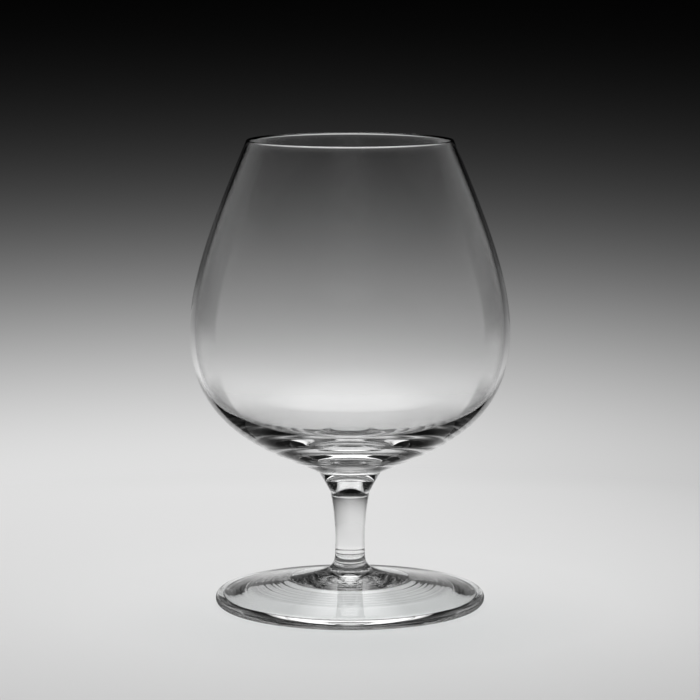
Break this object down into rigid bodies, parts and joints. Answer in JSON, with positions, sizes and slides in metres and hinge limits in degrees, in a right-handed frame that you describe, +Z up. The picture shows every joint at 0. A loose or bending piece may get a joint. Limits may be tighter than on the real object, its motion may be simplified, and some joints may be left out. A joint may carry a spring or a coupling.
{
  "type": "brandy snifter",
  "caption": "Clear crystal stemmed glass with a wide round belly drawn in to a narrow rim, a thick base, a short solid stem and a low cone-shaped foot.",
  "frame": {"origin": "centre of the foot on the table plane", "axes": "+Z up along the glass's axis, from foot to rim; X and Y are any two level directions"},
  "size_m": [0.0958, 0.0958, 0.14],
  "materials": {
    "clear_crystal": "fire polished"
  },
  "bodies": {
    "root": {"bowl": "clear_crystal", "stem": "clear_crystal", "foot": "clear_crystal"}
  },
  "joints": []
}
